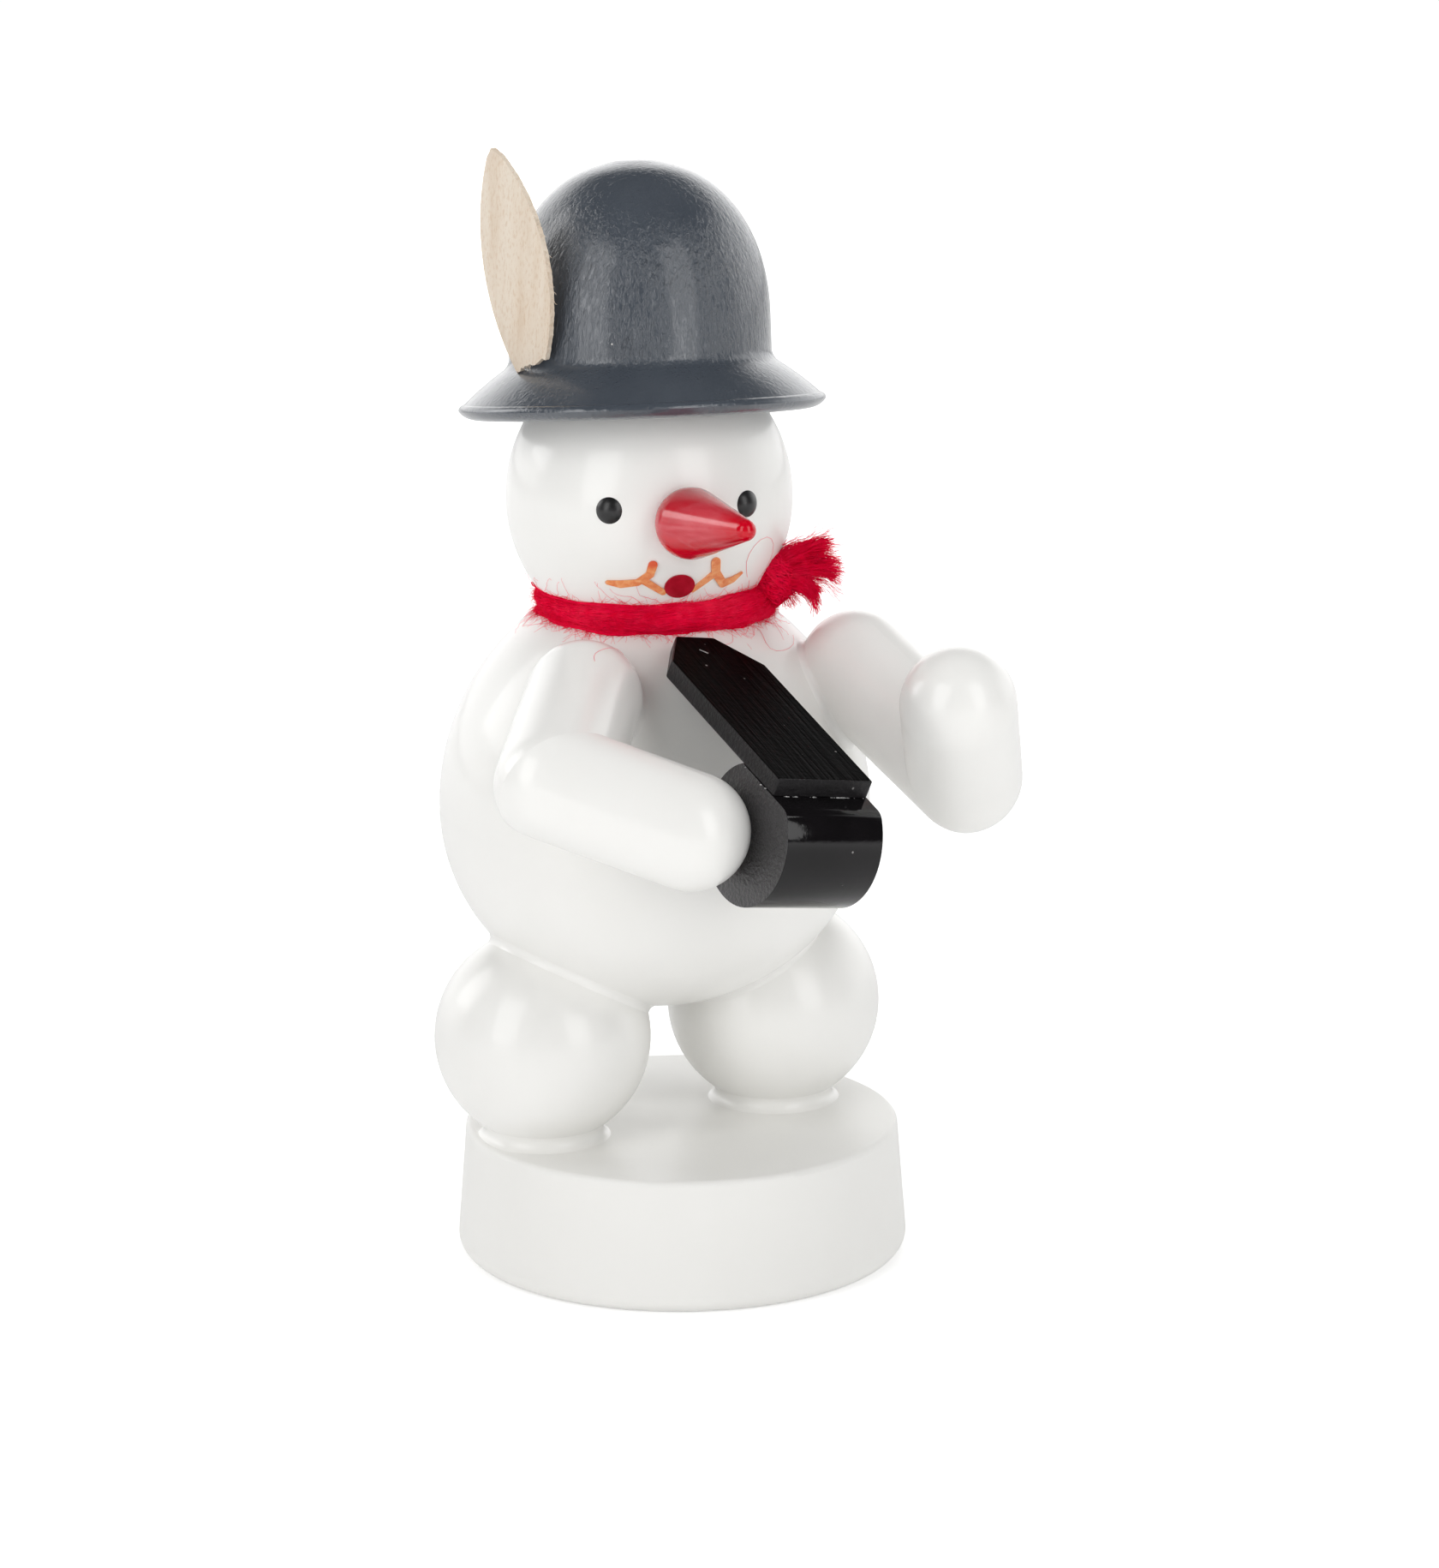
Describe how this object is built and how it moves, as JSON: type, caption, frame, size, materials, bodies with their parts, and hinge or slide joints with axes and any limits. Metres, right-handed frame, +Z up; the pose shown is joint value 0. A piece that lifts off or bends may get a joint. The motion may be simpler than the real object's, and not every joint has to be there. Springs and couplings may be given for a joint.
{
  "type": "wooden snowman figure",
  "caption": "Small turned wooden snowman on a round base, with a brimmed hat and feather, carrot nose, wool scarf and a black wooden prop held at its chest.",
  "frame": {"origin": "middle of the round base's flat underside", "axes": "+Z up through the figure, -Y the way the figure faces, +X the figure's own left"},
  "size_m": [0.0382, 0.0442, 0.0783],
  "materials": {
    "white_lacquered_wood": "glossy white dipping lacquer over turned wood",
    "slate_painted_wood": "satin slate blue paint with the grain showing as ripples",
    "pale_veneer": "bare thin veneer",
    "red_stained_wood": "glossy translucent red stain",
    "black_paint": "glossy drop of black paint",
    "red_paint": "glossy red paint",
    "orange_paint": "thin brushed orange paint",
    "black_lacquered_wood": "glossy black lacquer with fine grain",
    "red_wool": "fuzzy wool yarn",
    "bare_wood": "bare beech dowel"
  },
  "bodies": {
    "root": {"base_disc": "white_lacquered_wood", "right_leg_ball": "white_lacquered_wood", "left_leg_ball": "white_lacquered_wood", "torso": "white_lacquered_wood", "head": "white_lacquered_wood", "right_upper_arm": "white_lacquered_wood", "right_forearm": "white_lacquered_wood", "left_upper_arm": "white_lacquered_wood", "left_forearm": "white_lacquered_wood", "hat": "slate_painted_wood", "feather": "pale_veneer", "nose": "red_stained_wood", "right_eye": "black_paint", "left_eye": "black_paint", "mouth_dot": "red_paint", "mouth_line_right": "orange_paint", "mouth_line_left": "orange_paint", "prop_plate": "black_lacquered_wood", "prop_roller": "black_lacquered_wood", "scarf": "red_wool", "foot_dowel_right": "bare_wood", "foot_dowel_left": "bare_wood", "hip_dowel_right": "bare_wood", "hip_dowel_left": "bare_wood", "neck_dowel": "bare_wood", "hat_dowel": "bare_wood", "shoulder_dowel_right": "bare_wood", "shoulder_dowel_left": "bare_wood", "elbow_dowel_right": "bare_wood", "elbow_dowel_left": "bare_wood", "hand_dowel": "bare_wood"}
  },
  "joints": []
}
